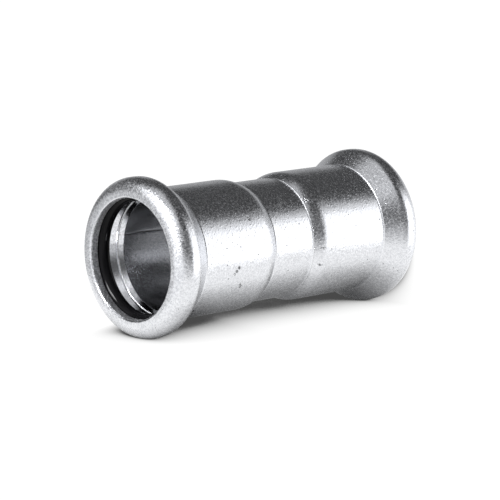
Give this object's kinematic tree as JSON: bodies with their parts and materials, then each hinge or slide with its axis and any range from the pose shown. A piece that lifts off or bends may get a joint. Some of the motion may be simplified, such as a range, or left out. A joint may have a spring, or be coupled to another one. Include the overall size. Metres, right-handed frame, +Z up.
{
  "type": "press fit pipe coupling",
  "caption": "Straight steel press coupling: a formed tube with a beaded socket at each end, a rubber seal ring in each bead and a narrow waist that stops the pipes.",
  "frame": {"origin": "centre of the lower mouth, on the plane that its rim stands on", "axes": "+Z up along the pipe axis, X and Y across it"},
  "size_m": [0.026, 0.026, 0.053],
  "materials": {
    "plated_steel": "bright zinc plating with a fine grain, satin",
    "seal_rubber": "smooth black rubber with an oily gloss"
  },
  "bodies": {
    "root": {"coupling_body": "plated_steel", "upper_seal_ring": "seal_rubber", "lower_seal_ring": "seal_rubber"}
  },
  "joints": []
}
